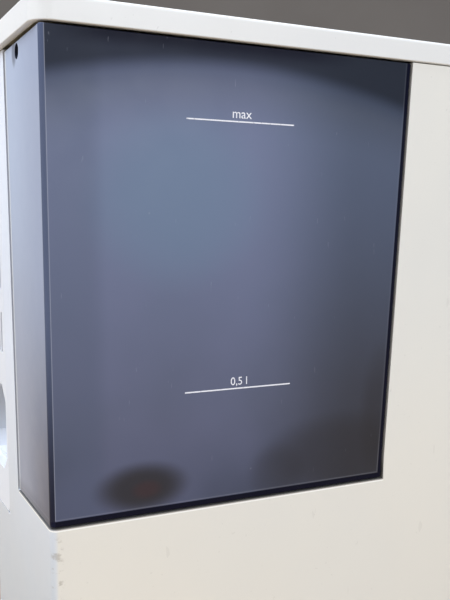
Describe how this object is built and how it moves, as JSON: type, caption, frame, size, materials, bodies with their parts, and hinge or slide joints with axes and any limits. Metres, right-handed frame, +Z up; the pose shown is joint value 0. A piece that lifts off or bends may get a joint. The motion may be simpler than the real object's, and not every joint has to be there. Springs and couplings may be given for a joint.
{
  "type": "resin wash station",
  "caption": "Table-top wash station: corner liquid tank, tub with basket and driven impeller, pump, filter, rear service panel and hinged crowned lid.",
  "frame": {"origin": "centre of the bounding box's underside, on the surface that the feet stand on", "axes": "+Z up, +Y to the rear, +X to the right seen from the front"},
  "size_m": [0.242, 0.3544, 0.3528],
  "materials": {
    "white_plastic": "fine satin texture",
    "lid_plastic": "satin",
    "cream_plastic": "matte",
    "smoked_plastic": "smoked, frosted on its broad faces",
    "dark_plastic": "satin",
    "black_gloss": "gloss",
    "clear_plastic": "translucent",
    "rubber": "matte",
    "stainless": "brushed",
    "zinc_steel": "zinc plated",
    "circuit_board": "solder mask"
  },
  "bodies": {
    "cabinet": {"housing_shell": "white_plastic", "top_deck": "white_plastic", "service_panel": "white_plastic", "power_inlet": "dark_plastic", "tank_dock": "dark_plastic", "motor_case": "dark_plastic", "pump_head": "dark_plastic", "filter_cap": "dark_plastic", "drain_tap": "dark_plastic", "drain_spout": "dark_plastic", "fan_frame": "dark_plastic", "front_fascia": "black_gloss", "display_lens": "black_gloss", "filter_bowl": "clear_plastic", "hose_tank_to_pump": "clear_plastic", "hose_pump_to_filter": "clear_plastic", "hose_filter_to_tub": "clear_plastic", "hose_drain": "clear_plastic", "foot_front_left": "rubber", "foot_front_right": "rubber", "foot_rear_left": "rubber", "foot_rear_right": "rubber", "dock_seal": "rubber", "mains_lead": "rubber", "wash_tub": "stainless", "wash_basket": "stainless", "basket_handle": "stainless", "impeller_pin": "stainless", "base_plate": "zinc_steel", "service_shelf": "zinc_steel", "panel_screw_1": "zinc_steel", "panel_screw_2": "zinc_steel", "panel_screw_3": "zinc_steel", "panel_screw_4": "zinc_steel", "hinge_bracket_left": "zinc_steel", "hinge_bracket_right": "zinc_steel", "hinge_pin_left": "zinc_steel", "hinge_pin_right": "zinc_steel", "motor_bracket": "zinc_steel", "pump_motor": "zinc_steel", "power_supply": "zinc_steel", "control_board": "circuit_board"},
    "lid": {"lid_panel": "lid_plastic", "lid_liner": "cream_plastic", "lid_gasket": "rubber", "hinge_leaf_left": "zinc_steel", "hinge_leaf_right": "zinc_steel"},
    "tank": {"tank_shell": "smoked_plastic", "tank_handle": "smoked_plastic", "valve_cage": "dark_plastic", "valve_spring": "zinc_steel"},
    "valve_poppet": {"valve_poppet": "rubber"},
    "level_float": {"level_float": "cream_plastic"},
    "impeller": {"impeller": "white_plastic"},
    "drive_magnet": {"drive_magnet": "zinc_steel"},
    "fan_rotor": {"fan_rotor": "dark_plastic"},
    "selector_knob": {"selector_knob": "stainless"},
    "start_button": {"start_button": "cream_plastic"},
    "power_rocker": {"power_rocker": "dark_plastic"},
    "drain_lever": {"drain_lever": "cream_plastic"}
  },
  "joints": [
    {"name": "lid_hinge", "type": "hinge", "parent": "cabinet", "child": "lid", "pos_m": [0, 0.174, 0.3294], "axis": [-1, 0, 0], "range_deg": [0, 95]},
    {"name": "tank_slide", "type": "slide", "parent": "cabinet", "child": "tank", "axis": [-1, 0, 0], "range_m": [0, 0.085]},
    {"name": "valve_lift", "type": "slide", "parent": "tank", "child": "valve_poppet", "axis": [0, 0, 1], "range_m": [0, 0.003], "stiffness_N_per_m": 400, "springref_m": -0.001, "deforming": ["valve_spring"]},
    {"name": "float_rise", "type": "slide", "parent": "tank", "child": "level_float", "axis": [0, 0, 1], "range_m": [0, 0.026]},
    {"name": "drive_spin", "type": "hinge", "parent": "cabinet", "child": "drive_magnet", "pos_m": [0.0325, -0.04, 0.11], "axis": [0, 0, 1], "continuous": true},
    {"name": "impeller_spin", "type": "hinge", "parent": "cabinet", "child": "impeller", "pos_m": [0.0325, -0.04, 0.145], "axis": [0, 0, 1], "continuous": true},
    {"name": "fan_spin", "type": "hinge", "parent": "cabinet", "child": "fan_rotor", "pos_m": [0.045, 0.154, 0.225], "axis": [0, 1, 0], "continuous": true},
    {"name": "selector_turn", "type": "hinge", "parent": "cabinet", "child": "selector_knob", "pos_m": [0.074, -0.17, 0.292], "axis": [0, 1, 0], "continuous": true},
    {"name": "start_press", "type": "slide", "parent": "cabinet", "child": "start_button", "axis": [0, 1, 0], "range_m": [0, 0.0018], "stiffness_N_per_m": 900},
    {"name": "power_switch", "type": "hinge", "parent": "cabinet", "child": "power_rocker", "pos_m": [0.0115, 0.156, 0.1435], "axis": [1, 0, 0], "range_deg": [0, 16]},
    {"name": "drain_turn", "type": "hinge", "parent": "cabinet", "child": "drain_lever", "pos_m": [0.056, 0.15, 0.06], "axis": [0, 0, 1], "range_deg": [0, 90]}
  ],
  "couplings": [
    {"joint": "impeller_spin", "follows": "drive_spin", "ratio": 1}
  ]
}
